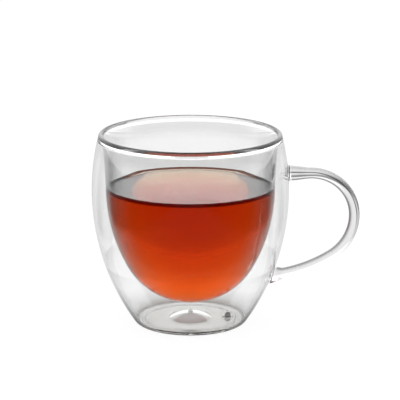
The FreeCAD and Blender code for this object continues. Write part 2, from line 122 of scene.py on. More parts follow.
class InnerVesselSizes(bpy.types.PropertyGroup):
    """The inner vessel that hangs from the rim."""

    radius: length("Vessel radius", "Inside, below the rim", 36.1 * MM)
    wall: length("Vessel wall", "Thickness of the inner vessel", 1.0 * MM)
    shoulder: length("Vessel shoulder", "Where the side starts to turn in", 61 * MM)
    side_arc: length("Vessel side arc", "Radius of the vessel's side", 71.7 * MM)
    floor: length("Vessel floor", "Height of the vessel's lowest place, inside", 10.5 * MM)
    flare: length("Flare", "Where the vessel starts to open towards the rim", 74 * MM)


class HandleSizes(bpy.types.PropertyGroup):
    """The rod that is fused to the outer wall."""

    corner: length("Top run", "Where the level top of the rod ends", 53 * MM)
    top: length("Top", "Height of the rod's middle line along its top", 67.1 * MM)
    bow: length("Bow", "Radius of the upper bend", 19 * MM)
    grip: length("Grip", "Radius of the lower bend", 21.6 * MM)
    grip_turn: angle("Grip turn", "How far round the lower bend goes", 58)
    arm: length("Arm", "Radius of the long arc back to the wall", 62 * MM)
    arm_turn: angle("Arm turn", "How far round the long arc goes before the lower pad", 20.5)
    thickness: length("Thickness", "Of the rod, seen from the side", 4.7 * MM)
    depth: length("Depth", "Of the rod, across the mug", 7.0 * MM)
    spread: share("Pad spread", "Size of a pad beside the plain rod", 1.35, 2.0)
    blend: length("Pad blend", "Radius where a pad runs into the wall", 1.2 * MM)


class TeaSizes(bpy.types.PropertyGroup):
    """The tea up to its level, reaching a little into the glass so that no air shows between them."""

    level: length("Level", "Height of the tea's surface", TEA_LEVEL)
    rise: length("Meniscus rise", "How far the tea climbs the glass", TEA_BOX[1].z - TEA_LEVEL)
    width: length("Meniscus width", "How far in from the glass it climbs", 2.2 * MM)
    overlap: length("Overlap", "How far the tea reaches into the glass", 0.2 * MM)


class Finishes(bpy.types.PropertyGroup):
    """Colours and finishes of the glass and the tea."""

    glass_tint: colour("Glass", "Tint of the clear glass", (0.985, 0.988, 0.986))
    glass_index: level("Glass index", "Refractive index of the glass", 1.47)
    # painted shade: the whole solid rod is greyed
    rod_shade_tint: colour("Rod", "Tint of the solid rod", (0.84, 0.84, 0.84))
    # painted shade: the rod is near black where it is seen edge-on, and along its painted streak
    rod_edge_shade: colour("Rod edge", "Tint of the rod seen edge-on, and of its cord", (0.02, 0.02, 0.02))
    # painted shade: a dark streak along the front of the rod, faded a little by the ripples
    painted_streak_place: share("Painted streak place", "Where the grey cord runs, from the rod's middle to its outside", 0.52)
    painted_streak_width: share("Painted streak width", "Half width of the cord, soft edge included, beside the rod's", 0.2)
    # painted shade: the inner vessel is greyed where it is seen edge-on
    vessel_edge_shade: colour("Vessel edge", "Tint of the inner vessel where it is seen edge-on", (0.4, 0.4, 0.4))
    # painted shade: the glass is greyed just under the rim
    neck_shade_tint: colour("Neck", "Tint of the glass just under the rim, where the walls meet", (0.9, 0.9, 0.9))
    # painted shade: a dark band round the outside of the foot ring, just over the floor
    heel_shade_tint: colour("Heel", "Tint of the outside of the foot ring", (0.2, 0.18, 0.15))
    # painted shade: the glass is greyed towards the bottom of the foot
    foot_shade_tint: colour("Foot", "Painted shade on the glass at the foot", (0.66, 0.64, 0.61))
    # painted shade: the rim's bead is near black where it is seen edge-on
    rim_edge_shade: colour("Rim edge", "Tint of the rim's bead where it is seen edge-on", (0.03, 0.014, 0.01))
    vent_tint: colour("Vent", "Tint of the drop that seals the vent", (0.3, 0.3, 0.3))
    ripple: length("Ripple", "Height of the long ripples left by blowing", 0.02 * MM)
    dullness: share("Dullness", "Roughness of the glass where its polish is poorest", 0.02)
    tea_clear: colour("Tea", "Colour that the tea lets through", (0.92, 0.545, 0.0))
    tea_strength: level("Tea strength", "How fast the tea takes up light, per metre", 120)
    # painted shade: the tea's side is darkened where it is seen edge-on
    tea_side_shade: colour("Tea side", "Tint of the tea's side where it is seen edge-on", (0.05, 0.04, 0.03))
    # painted shade: the light through the tea's level surface is darkened
    tea_top_shade: colour("Tea top", "Tint of the tea's level surface, under its gloss", (0.5, 0.45, 0.4))
    # painted shade: a dark line in the tea along the glass, just under its surface
    tea_ring_shade: colour("Ring", "Tint of the tea's side just under its surface", (0.05, 0.002, 0.0))
    tea_index: level("Tea index", "Refractive index of the tea", 1.333)
    swell: length("Swell", "Height of the unevenness in the tea's surface", 0.01 * MM)


class StudioSettings(bpy.types.PropertyGroup):
    """Camera, lamps, floor and world."""

    distance: length("Camera distance", "From the camera to the place it looks at", 0.9)
    tilt: angle("Camera tilt", "How far above level the camera stands", 14)
    aim_across: length("Aim across", "How far towards the handle the camera looks", 4.2 * MM)
    aim_height: length("Aim height", "Height of the place the camera looks at", 54.9 * MM)
    view_width: length("View width", "Width seen at that place", 175.5 * MM)
    lamp: level("Lamp strength", "Power of each soft lamp", 5, unit="POWER")
    lamp_size: length("Lamp size", "Side of each square lamp", 1.4)
    lamp_turn: angle("Lamp turn", "How far round from the camera each lamp stands", 100)
    lamp_reach: length("Lamp reach", "How far each lamp is from the mug's axis", 0.9)
    lamp_height: length("Lamp height", "How high each lamp is", 1.3)
    lamp_aim: length("Lamp aim", "Height of the place on the mug's axis that the lamps point at", 0.05)
    floor_radius: length("Floor radius", "Of the round studio floor", 6.0)
    horizon: level("Horizon", "Strength of the world and the far floor, seen through the glass", 1.45)
    backlight: level("Backlight", "Strength of the world in the bright band above the horizon", 1.9)
    room: share("Room", "How much of the world in front of the mug is left where the glass mirrors it", 0.2)
    band_foot: angle("Band foot", "Angle above the horizon from which the band is at its full strength", 16)
    band_top: angle("Band top", "Angle above the horizon from which the band fades", 45)
    dark_from: angle("Dark from", "Angle above the horizon where the band has faded out", 70)
    zenith: level("Overhead", "Strength of the world overhead", 0.95)
    floor_glow: share("Floor glow", "How much of the floor's white is its own light", 0.93)
    front_floor: level("Front floor", "Strength of the floor in front, where the glass mirrors it", 0.03)
    back_floor: level("Back floor", "The same for the floor behind the mug", 0.75)
    flags: share("Flags", "How much of the mirrored floor is left far out to both sides", 0.2)
    shaded: share("Shade", "The floor's strength close around the foot, seen through the glass", 0.6)


GROUPS = {
    "mug_outer": OuterWallSizes,
    "mug_vessel": InnerVesselSizes,
    "mug_handle": HandleSizes,
    "mug_tea": TeaSizes,
    "mug_finish": Finishes,
    "mug_studio": StudioSettings,
}


# ---- outlines --------------------------------------------------------------------------------

def touch(small, large):
    """Where a circle touches a larger one that it lies inside."""
    (x, z), radius = small
    across, up = x - large[0][0], z - large[0][1]
    span = math.hypot(across, up)
    return x + radius * across / span, z + radius * up / span


def touch_outside(first, second):
    """Where two circles touch that lie beside each other."""
    (x, z), radius = first
    across, up = second[0][0] - x, second[0][1] - z
    span = math.hypot(across, up)
    return x + radius * across / span, z + radius * up / span


def vent_middle(wall):
    """Where the middle of the drop that seals the vent is."""
    return wall.vent_offset, wall.recess + wall.vent_radius * VENT_LIFT


def bead_circle(wall):
    return (wall.rim_radius, wall.height - wall.bead), wall.bead


def shoulder_circle(wall, inset=0.0):
    drop = wall.belly_radius - wall.rim_radius
    rise = wall.height - wall.bead - wall.belly_height
    radius = (drop ** 2 + rise ** 2 - wall.bead ** 2) / (2 * (drop - wall.bead))
    return (wall.belly_radius - radius, wall.belly_height), radius - inset


def side_circle(wall, inset=0.0):
    return (wall.belly_radius - wall.side_arc, wall.belly_height), wall.side_arc - inset


def corner_circle(radius, floor, side):
    """The circle that rounds a side into a level floor."""
    (x, z), reach = side
    across = math.sqrt((reach - radius) ** 2 - (z - floor - radius) ** 2)
    return (x + across, floor + radius), radius


def punt_circles(wall, offset=0.0):
    """The dome in the underside and the bend around it, for a face that far above it."""
    dome = (0.0, wall.punt_height - wall.punt_arc), wall.punt_arc + offset
    floor = wall.recess + offset
    bend = wall.punt_bend - offset
    fall = floor + bend - dome[0][1]
    across = math.sqrt((dome[1] + bend) ** 2 - fall ** 2)
    return dome, ((across, floor + bend), bend)


def flare_circle(wall, vessel, inset=0.0):
    reach = wall.rim_radius - vessel.radius
    rise = wall.height - wall.bead - vessel.flare
    radius = (reach ** 2 + rise ** 2 - wall.bead ** 2) / (2 * (reach - wall.bead))
    return (vessel.radius + radius, vessel.flare), radius - inset


def vessel_circles(vessel, offset=0.0):
    """The vessel's side and bottom arcs, for a face that far outside its inside."""
    rise = vessel.shoulder - vessel.floor
    reach = vessel.side_arc - vessel.radius
    bottom = (vessel.side_arc ** 2 - reach ** 2 - rise ** 2) / (2 * (vessel.side_arc - rise))
    side = (-reach, vessel.shoulder), vessel.side_arc + offset
    return side, ((0.0, vessel.floor + bottom), bottom + offset)


def seam_circle(radius, shoulder, flare):
    """The small circle inside the shoulder's arc that also touches the flare's arc from outside."""
    (xs, zs), rs = shoulder
    (xf, zf), rf = flare
    first, second = rs - radius, rf - radius
    span = math.hypot(xf - xs, zf - zs)
    along = (first ** 2 - second ** 2 + span ** 2) / (2 * span)
    off = math.sqrt(first ** 2 - along ** 2)
    ux, uz = (xf - xs) / span, (zf - zs) / span
    return (xs + along * ux - off * uz, zs + along * uz + off * ux), radius


class Section:
    """A half section drawn in the XZ plane by carrying one vertex along lines and arcs."""

    def __init__(self, start):
        self.mesh = bmesh.new()
        self.tip = bmesh.ops.create_vert(self.mesh, co=(start[0], 0.0, start[1]))["vert"][0]

    def arc(self, circle, end, steps):
        """Goes round the circle the shorter way to the end."""
        (x, z), _ = circle
        first = math.atan2(self.tip.co.x - x, self.tip.co.z - z)
        last = math.atan2(end[0] - x, end[1] - z)
        turn = (last - first + math.pi) % (2 * math.pi) - math.pi
        made = bmesh.ops.spin(
            self.mesh, geom=[self.tip], cent=(x, 0.0, z), axis=Y_AXIS, angle=turn, steps=steps,
        )
        self.tip = next(v for v in made["geom_last"] if isinstance(v, bmesh.types.BMVert))

    def run(self, end, steps=1):
        """Goes straight to the end."""
        step = (Vector((end[0], 0.0, end[1])) - self.tip.co) / steps
        for _ in range(steps):
            self.tip = bmesh.ops.extrude_vert_indiv(self.mesh, verts=[self.tip])["verts"][0]
            self.tip.co += step

    def turned(self, segments):
        """The section spun a full turn about the mug's axis, closed at its poles."""
        bm = self.mesh
        bmesh.ops.spin(
            bm, geom=bm.verts[:] + bm.edges[:], axis=Z_AXIS, angle=2 * math.pi, steps=segments,
            use_merge=True,
        )
        bmesh.ops.remove_doubles(bm, verts=bm.verts[:], dist=JOIN)
        bmesh.ops.dissolve_degenerate(bm, edges=bm.edges[:], dist=JOIN)
        bmesh.ops.recalc_face_normals(bm, faces=bm.faces[:])
        return bm


def outer_section(wall, vessel):
    """The glass that shows from outside: underside, wall, rim and the inside of the vessel."""
    dome, bend = punt_circles(wall)
    side, shoulder, bead = side_circle(wall), shoulder_circle(wall), bead_circle(wall)
    corner = corner_circle(wall.corner, 0.0, side)
    drop = math.acos(1 - wall.recess / wall.ring_bend)
    ring_edge = (wall.ring_inner, 0.0)
    ring = ((ring_edge[0] - wall.ring_bend * math.sin(drop), wall.recess - wall.ring_bend), wall.ring_bend)
    flare = flare_circle(wall, vessel)
    vessel_side, bottom = vessel_circles(vessel)
    section = Section((0.0, wall.punt_height))
    section.arc(dome, touch_outside(dome, bend), steps=12)
    section.arc(bend, (bend[0][0], wall.recess), steps=4)
    section.run((ring[0][0], wall.recess), steps=3)
    section.arc(ring, ring_edge, steps=5)
    section.run((corner[0][0], 0.0), steps=2)
    section.arc(corner, touch(corner, side), steps=9)
    section.arc(side, (wall.belly_radius, wall.belly_height), steps=34)
    section.arc(shoulder, touch(bead, shoulder), steps=14)
    section.arc(bead, touch(bead, flare), steps=18)
    section.arc(flare, (vessel.radius, vessel.flare), steps=9)
    section.run((vessel.radius, vessel.shoulder), steps=6)
    section.arc(vessel_side, touch(bottom, vessel_side), steps=22)
    section.arc(bottom, (0.0, vessel.floor), steps=22)
    return section


def air_section(wall, vessel):
    """The sealed air space between the outer wall and the vessel."""
    dome, bend = punt_circles(wall, wall.wall)
    floor = wall.recess + wall.wall
    side, shoulder = side_circle(wall, wall.wall), shoulder_circle(wall, wall.wall)
    corner = corner_circle(wall.gap_corner, floor, side)
    flare = flare_circle(wall, vessel, vessel.wall)
    seam = seam_circle(wall.gap_top, shoulder, flare)
    vessel_side, bottom = vessel_circles(vessel, vessel.wall)
    vessel_face = vessel.radius + vessel.wall
    section = Section((0.0, wall.punt_height + wall.wall))
    section.arc(dome, touch_outside(dome, bend), steps=12)
    section.arc(bend, (bend[0][0], floor), steps=3)
    section.run((corner[0][0], floor), steps=4)
    section.arc(corner, touch(corner, side), steps=7)
    section.arc(side, (wall.belly_radius - wall.wall, wall.belly_height), steps=34)
    section.arc(shoulder, touch(seam, shoulder), steps=14)
    section.arc(seam, touch_outside(seam, flare), steps=8)
    section.arc(flare, (vessel_face, vessel.flare), steps=8)
    section.run((vessel_face, vessel.shoulder), steps=6)
    section.arc(vessel_side, touch(bottom, vessel_side), steps=22)
    section.arc(bottom, (0.0, vessel.floor - vessel.wall), steps=22)
    return section


def tea_section(vessel, tea):
    """The tea, from under the vessel's floor up inside the glass, and in over its meniscus."""
    side, bottom = vessel_circles(vessel, tea.overlap)
    edge = vessel.radius + tea.overlap
    wetted = tea.level + tea.rise
    curl = (tea.width ** 2 + tea.rise ** 2) / (2 * tea.rise)
    flat_edge = (vessel.radius - tea.width, tea.level)
    section = Section((0.0, vessel.floor - tea.overlap))
    section.arc(bottom, touch(bottom, side), steps=24)
    section.arc(side, (edge, vessel.shoulder), steps=24)
    section.run((edge, wetted), steps=2)
    section.run((vessel.radius, wetted))
    section.arc(((flat_edge[0], flat_edge[1] + curl), curl), flat_edge, steps=10)
    section.run((0.0, tea.level), steps=6)
    return section


# ---- handle ----------------------------------------------------------------------------------

def wall_radius(wall, height):
    """Outside radius of the mug at a height."""
    (x, z), radius = side_circle(wall) if height < wall.belly_height else shoulder_circle(wall)
    return x + math.sqrt(radius ** 2 - (height - z) ** 2)


def on_wall(wall, point):
    """The point moved level onto the outside of the mug."""
    radius = wall_radius(wall, point.z)
    scale = radius / math.hypot(point.x, point.y)
    return Vector((point.x * scale, point.y * scale, point.z))


def wall_normal(wall, point):
    (x, z), _ = side_circle(wall) if point.z < wall.belly_height else shoulder_circle(wall)
    reach = math.hypot(point.x, point.y)
    out = Vector((point.x / reach * (reach - x), point.y / reach * (reach - x), point.z - z))
    return out.normalized()


def reach_wall(wall, point, heading):
    """How far the point goes along its heading before it meets the mug."""
    rounds, least_approach = 30, 0.2
    gone = 0.0
    for _ in range(rounds):
        at = point + heading * gone
        gap = math.hypot(at.x, at.y) - wall_radius(wall, at.z)
        gone += gap / max(least_approach, -heading.dot(wall_normal(wall, at)))
    return gone


def loop_verts(edges):
    return list({v for e in edges for v in e.verts})


def spun(bm, ring, centre, turn, steps):
    """Carries a ring of edges round a centre in the XZ plane, leaving a bent rod."""
    made = bmesh.ops.spin(
        bm, geom=ring + loop_verts(ring), cent=(centre[0], 0.0, centre[1]), axis=Y_AXIS,
        angle=turn, steps=steps,
    )
    return [e for e in made["geom_last"] if isinstance(e, bmesh.types.BMEdge)]


def fuse_end(bm, ring, middle, heading, wall, handle):
    """Draws a rod's end onto the wall: it widens to a pad that runs out over the glass."""
    spread_steps, blend_steps = 7, 8
    sunk, deep = 0.012 * MM, 0.8 * MM
    verts = loop_verts(ring)
    plans = {}
    for vert in verts:
        offset = vert.co - middle
        pad = middle + offset * handle.spread
        reach = reach_wall(wall, pad, heading)
        plans[tuple(vert.co)] = (offset, pad, reach)
    path = [{} for _ in range(spread_steps + blend_steps + 1)]
    for key, (offset, pad, reach) in plans.items():
        straight = reach - handle.blend
        # the rod widens on its way to the wall, and stops short of it by the blend
        for step in range(1, spread_steps + 1):
            gone = step / spread_steps
            ease = gone * gone * (3 - 2 * gone)
            grown = 1 + (handle.spread - 1) * ease
            path[step - 1][key] = middle + offset * grown + heading * (straight * gone)
        # then it curves out over the glass, and its last ring lies inside the wall
        start, meet = pad + heading * straight, pad + heading * reach
        normal = wall_normal(wall, meet)
        outward = offset - normal * offset.dot(normal)
        end = on_wall(wall, meet + outward.normalized() * handle.blend)
        end -= wall_normal(wall, end) * sunk
        for step in range(1, blend_steps + 1):
            u = step / blend_steps
            curve = start * (1 - u) ** 2 + meet * (2 * u * (1 - u)) + end * u * u
            path[spread_steps + step - 1][key] = curve
        path[-1][key] = end - wall_normal(wall, end) * deep
    # an extruded point starts where its old one is, which tells whose way it goes
    keys = {v: tuple(v.co) for v in verts}
    for places in path:
        made = bmesh.ops.extrude_edge_only(bm, edges=ring)["geom"]
        fresh = [e for e in made if isinstance(e, bmesh.types.BMEdge)]
        follow = {tuple(v.co): v for v in made if isinstance(v, bmesh.types.BMVert)}
        moved = {}
        for old, key in keys.items():
            new = follow[tuple(old.co)]
            moved[new] = key
        for new, key in moved.items():
            new.co = places[key]
        keys, ring = moved, fresh
    bmesh.ops.contextual_create(bm, geom=ring)


def handle_rod(wall, handle):
    """The rod as a closed shape whose ends are sunk in the outer wall."""
    bm = bmesh.new()
    bow_centre = (handle.corner, handle.top - handle.bow)
    grip_centre = (bow_centre[0] + handle.bow - handle.grip, bow_centre[1])
    longer = handle.arm - handle.grip
    arm_centre = (
        grip_centre[0] - longer * math.cos(handle.grip_turn),
        grip_centre[1] + longer * math.sin(handle.grip_turn),
    )
    bmesh.ops.create_circle(bm, segments=56, radius=1.0)
    bmesh.ops.scale(bm, verts=bm.verts[:], vec=(handle.thickness / 2, handle.depth / 2, 1.0))
    bmesh.ops.rotate(bm, verts=bm.verts[:], cent=(0, 0, 0), matrix=Matrix.Rotation(math.pi / 2, 3, "Y"))
    bmesh.ops.translate(bm, verts=bm.verts[:], vec=(handle.corner, 0.0, handle.top))
    first = bm.edges[:]
    last = spun(bm, first, bow_centre, math.pi / 2, steps=30)
    last = spun(bm, last, grip_centre, handle.grip_turn, steps=20)
    last = spun(bm, last, arm_centre, handle.arm_turn, steps=14)
    end_turn = handle.grip_turn + handle.arm_turn
    heading = Vector((-math.sin(end_turn), 0.0, -math.cos(end_turn)))
    middle = Vector((
        arm_centre[0] + handle.arm * math.cos(end_turn), 0.0,
        arm_centre[1] - handle.arm * math.sin(end_turn),
    ))
    fuse_end(bm, first, Vector((handle.corner, 0.0, handle.top)), Vector((-1.0, 0.0, 0.0)), wall, handle)
    fuse_end(bm, last, middle, heading, wall, handle)
    bmesh.ops.recalc_face_normals(bm, faces=bm.faces[:])
    return bm


# ---- pieces ----------------------------------------------------------------------------------

def finish_mesh(name, bm):
    """A new object at the origin with that mesh, smooth all over."""
    mesh = bpy.data.meshes.new(name)
    bm.to_mesh(mesh)
    bm.free()
    for face in mesh.polygons:
        face.use_smooth = True
    obj = bpy.data.objects.new(name, mesh)
    bpy.context.scene.collection.objects.link(obj)
    return obj


def combined(name, first, second, operation):
    """The two shapes as one, exactly cut where they meet."""
    base, tool = finish_mesh(name, first), finish_mesh(name + "_tool", second)
    cut = base.modifiers.new("Fused", "BOOLEAN")
    cut.operation, cut.solver, cut.object = operation, "EXACT", tool
    evaluated = base.evaluated_get(bpy.context.evaluated_depsgraph_get())
    bm = bmesh.new()
    bm.from_mesh(evaluated.to_mesh())
    evaluated.to_mesh_clear()
    for obj in (base, tool):
        mesh = obj.data
        bpy.data.objects.remove(obj)
        bpy.data.meshes.remove(mesh)
    return bm


def glass_drop(radius, across, height):
    bm = bmesh.new()
    bmesh.ops.create_uvsphere(bm, u_segments=32, v_segments=20, radius=radius)
    bmesh.ops.translate(bm, verts=bm.verts[:], vec=(across, 0.0, height))
    return bm


def add_shape(bm, extra):
    """Adds another shape's faces to a bmesh, as they are."""
    mesh = bpy.data.meshes.new("extra")
    extra.to_mesh(mesh)
    extra.free()
    bm.from_mesh(mesh)
    bpy.data.meshes.remove(mesh)


# ---- finishes --------------------------------------------------------------------------------

# Each span says where a mask or a change of light starts and where it is complete. Heights and
# distances are in metres, most of them counted from one of the mug's sizes. A glance goes from 0,
# straight on, to 1, edge-on. A slope is a part of the surface's normal.
ROD_OFF_WALL = (0.3 * MM, 1.5 * MM)
ROD_GLANCE = (0.05, 0.55)
ROD_INWARD = (0.3, -0.6)
PAINTED_STREAK_FRONT_SLOPE = (-0.1, -0.5)
PAINTED_STREAK_HEIGHT = (-12.1 * MM, 3.9 * MM)
VESSEL_SHADE_DEPTH = (1.2 * MM, 0.6 * MM)
VESSEL_SHADE_GLANCE = (0.3, 0.85)
VESSEL_SHADE_HEIGHT = (20 * MM, 30 * MM)
FOOT_SHADE_HEIGHT = (4 * MM, 0.4 * MM)
HEEL_HEIGHT = (1.6 * MM, 0.4 * MM)
HEEL_REACH = (1.6 * MM, 3.6 * MM)
NECK_HEIGHT = (-11 * MM, -5 * MM)
RIM_HEIGHT = (-1.6 * MM, -0.7 * MM)
RIM_GLANCE = (0.15, 0.7)
VENT_SKIN = (0.225 * MM, 0.03 * MM)
RING_REACH = (-0.2 * MM, 0.1 * MM)
RING_HEIGHT = (-1.2 * MM, -0.5 * MM)
TEA_SIDE_SLOPE = (0.65, 0.2)
TEA_SIDE_GLANCE = (0.05, 0.45)
TEA_TOP_SLOPE = (0.995, 0.999)
SHADE_RADIUS = (25 * MM, 55 * MM)
FAR_FLOOR = (350 * MM, 1600 * MM)
FRONT_TO_BACK = (-35 * MM, 45 * MM)
FLAG_ASIDE = (90 * MM, 130 * MM)
FLAG_SLANT = (1.1, 0.6)  # how far back a place is, beside how far aside
ROOM_TURN = (-0.35, 0.25)  # how far back a ray points
NOISE_SPAN = (0.3, 0.7)

OUTER_EDGE = 0.5  # how strong the rod's painted edge shade is outside the handle's loop
PAINTED_STREAK_CORE = 0.05  # half width of the painted streak's darkest part, beside the rod's
PAINTED_STREAK_FAINTEST = 0.92  # how strong the painted streak is where the ripples fade it most
LOOP_INSET = 2 * MM  # how far the loop's middle lies in from the end of the top run
LONG_RIPPLES = (1.0, 1.0, 0.35)
MIRRORED_ONCE = 0.5  # a ray was mirrored if its glossy depth is above this
WHITE, MATT_WHITE = (1.0, 1.0, 1.0), (0.9, 0.9, 0.9)
FIRST_NUMBER, SECOND_NUMBER, FIRST_COLOUR, SECOND_COLOUR, MIXED_COLOUR = 2, 3, 6, 7, 2  # of a Mix node


class Nodes:
    """A node tree, filled a node at a time."""

    def __init__(self, tree):
        self.tree = tree
        tree.nodes.clear()

    def add(self, kind, inputs=None, **settings):
        node = self.tree.nodes.new(kind)
        for key, value in settings.items():
            setattr(node, key, value)
        for key, value in (inputs or {}).items():
            if isinstance(value, bpy.types.NodeSocket):
                self.tree.links.new(value, node.inputs[key])
            else:
                node.inputs[key].default_value = value
        return node


class Surface:
    """What a material knows about the place on the mug that it colours."""

    def __init__(self, nodes):
        self.place = nodes.add("ShaderNodeTexCoord").outputs["Object"]
        apart = nodes.add("ShaderNodeSeparateXYZ", {0: self.place}).outputs
        self.across, self.height = apart["X"], apart["Z"]
        flat = nodes.add("ShaderNodeCombineXYZ", {"X": apart["X"], "Y": apart["Y"]}).outputs[0]
        self.reach = measured(nodes, "LENGTH", flat)
        self.normal = nodes.add("ShaderNodeNewGeometry").outputs["Normal"]
        self.slope = nodes.add("ShaderNodeSeparateXYZ", {0: self.normal}).outputs
        self.glance = nodes.add("ShaderNodeLayerWeight", {"Blend": 0.5}).outputs["Facing"]


def new_material(name):
    material = bpy.data.materials.new(name)
    material.use_nodes = True
    return material, Nodes(material.node_tree)


def opaque(rgb):
    return (*rgb, 1.0)


def past(edge, span):
    """A span that is counted from an edge."""
    return edge + span[0], edge + span[1]


def ramp(nodes, value, span, low=0.0, high=1.0, shape="SMOOTHSTEP"):
    """A value that goes from low to high while another crosses a span."""
    return nodes.add("ShaderNodeMapRange", {
        "Value": value, "From Min": span[0], "From Max": span[1], "To Min": low, "To Max": high,
    }, interpolation_type=shape).outputs["Result"]


def worked(nodes, operation, *values):
    """A number worked out from numbers."""
    return nodes.add("ShaderNodeMath", dict(enumerate(values)), operation=operation).outputs[0]


def measured(nodes, operation, *vectors):
    """A number worked out from vectors."""
    return nodes.add("ShaderNodeVectorMath", dict(enumerate(vectors)), operation=operation).outputs["Value"]


def product(nodes, first, *others):
    for other in others:
        first = worked(nodes, "MULTIPLY", first, other)
    return first


def mixed(nodes, factor, plain, changed):
    """A number that goes from one to another with the factor."""
    return nodes.add("ShaderNodeMix", {0: factor, FIRST_NUMBER: plain, SECOND_NUMBER: changed}).outputs[0]


def mixed_shader(nodes, factor, plain, changed):
    return nodes.add("ShaderNodeMixShader", {0: factor, 1: plain.outputs[0], 2: changed.outputs[0]})


def layered(nodes, base, *layers):
    """A base colour with tints over it, each where its mask is."""
    tint = opaque(base)
    for mask, rgb in layers:
        inputs = {0: mask, FIRST_COLOUR: tint, SECOND_COLOUR: opaque(rgb)}
        tint = nodes.add("ShaderNodeMix", inputs, data_type="RGBA").outputs[MIXED_COLOUR]
    return tint


def noise(nodes, place, scale, detail, roughness):
    return nodes.add("ShaderNodeTexNoise", {
        "Vector": place, "Scale": scale, "Detail": detail, "Roughness": roughness,
    }).outputs["Fac"]


def clear_surface(nodes, tint, roughness, index, height, distance):
    """A clear, tinted surface with a slight unevenness."""
    bump = nodes.add("ShaderNodeBump", {"Height": height, "Strength": 1.0, "Distance": distance})
    return nodes.add("ShaderNodeBsdfPrincipled", {
        "Base Color": tint, "Roughness": roughness, "IOR": index,
        "Transmission Weight": 1.0, "Normal": bump.outputs["Normal"],
    }).outputs["BSDF"]


def rod_outwards(nodes, surface, handle):
    """How far the rod's surface faces out of the handle's loop: 1 straight out, -1 straight in."""
    middle = worked(nodes, "MINIMUM", surface.across, handle.corner - LOOP_INSET)
    centre = nodes.add("ShaderNodeCombineXYZ", {"X": middle, "Z": handle.top - handle.bow}).outputs[0]
    here = nodes.add("ShaderNodeCombineXYZ", {"X": surface.across, "Z": surface.height}).outputs[0]
    away = nodes.add("ShaderNodeVectorMath", {0: here, 1: centre}, operation="SUBTRACT").outputs["Vector"]
    away = nodes.add("ShaderNodeVectorMath", {0: away}, operation="NORMALIZE").outputs["Vector"]
    return measured(nodes, "DOT_PRODUCT", away, surface.normal)


def rod_masks(nodes, surface, waves, finish, wall, handle):
    """Where the solid rod is, where its edges seen edge-on get painted shade, and where a painted dark
    streak runs along its front.
    """
    profile = nodes.add("ShaderNodeCombineXYZ", {"X": surface.reach, "Z": surface.height}).outputs[0]
    (x, z), radius = side_circle(wall)
    rod = ramp(nodes, measured(nodes, "DISTANCE", profile, (x, 0.0, z)), past(radius, ROD_OFF_WALL))
    outwards = rod_outwards(nodes, surface, handle)
    stronger_inside = ramp(nodes, outwards, ROD_INWARD, OUTER_EDGE, 1.0)
    # painted shade on the rod's edges seen edge-on, stronger inside the handle's loop
    edge = product(nodes, ramp(nodes, surface.glance, ROD_GLANCE), rod, stronger_inside)
    off_painted_streak = worked(nodes, "ABSOLUTE", worked(nodes, "SUBTRACT", outwards, finish.painted_streak_place))
    # painted shade: a dark streak along the rod's front
    painted_streak = product(
        nodes, ramp(nodes, off_painted_streak, (finish.painted_streak_width, PAINTED_STREAK_CORE)),
        ramp(nodes, surface.slope["Y"], PAINTED_STREAK_FRONT_SLOPE), rod,
        ramp(nodes, surface.height, past(handle.top - handle.bow, PAINTED_STREAK_HEIGHT)),
        ramp(nodes, waves, NOISE_SPAN, PAINTED_STREAK_FAINTEST, 1.0, "LINEAR"),
    )
    return rod, edge, painted_streak


def glass_material(finish, wall, vessel, handle):
    """Clear blown glass: long faint ripples, a polish that varies a little, and painted shade that greys
    the rod, the foot, the neck and edges seen edge-on.
    """
    material, nodes = new_material("clear_blown_glass")
    surface = Surface(nodes)
    stretched = nodes.add("ShaderNodeMapping", {"Vector": surface.place, "Scale": LONG_RIPPLES})
    waves = noise(nodes, stretched.outputs["Vector"], scale=45.0, detail=1.0, roughness=0.4)
    polish = noise(nodes, surface.place, scale=160.0, detail=2.0, roughness=0.5)
    roughness = ramp(nodes, polish, NOISE_SPAN, 0.0, finish.dullness, "LINEAR")
    rod, edge, painted_streak = rod_masks(nodes, surface, waves, finish, wall, handle)
    # painted shade on the inner vessel where it is seen edge-on
    vessel_shade_mask = product(
        nodes, ramp(nodes, surface.reach, past(vessel.radius + vessel.wall, VESSEL_SHADE_DEPTH)),
        ramp(nodes, surface.glance, VESSEL_SHADE_GLANCE), ramp(nodes, surface.height, VESSEL_SHADE_HEIGHT),
    )
    # painted shade round the outside of the foot ring, where it stands on the floor
    heel_shade = product(
        nodes, ramp(nodes, surface.height, HEEL_HEIGHT),
        ramp(nodes, surface.reach, past(wall.ring_inner, HEEL_REACH)),
    )
    # painted shade on the rim's bead where it is seen edge-on
    rim = product(
        nodes, ramp(nodes, surface.height, past(wall.height, RIM_HEIGHT)),
        ramp(nodes, surface.glance, RIM_GLANCE),
    )
    across, height = vent_middle(wall)
    from_vent = measured(nodes, "DISTANCE", surface.place, (across, 0.0, height))
    tint = layered(
        nodes, finish.glass_tint,
        # painted shade, darker towards the bottom of the foot
        (ramp(nodes, surface.height, FOOT_SHADE_HEIGHT), finish.foot_shade_tint),
        (heel_shade, finish.heel_shade_tint),
        (vessel_shade_mask, finish.vessel_edge_shade),
        # painted shade just under the rim
        (ramp(nodes, surface.height, past(wall.height, NECK_HEIGHT)), finish.neck_shade_tint),
        (rim, finish.rim_edge_shade),
        (ramp(nodes, from_vent, past(wall.vent_radius, VENT_SKIN)), finish.vent_tint),
        # painted shade greying the solid rod
        (rod, finish.rod_shade_tint),
        (edge, finish.rod_edge_shade),
        (painted_streak, finish.rod_edge_shade),
    )
    glass = clear_surface(nodes, tint, roughness, finish.glass_index, waves, finish.ripple)
    nodes.add("ShaderNodeOutputMaterial", {"Surface": glass})
    return material


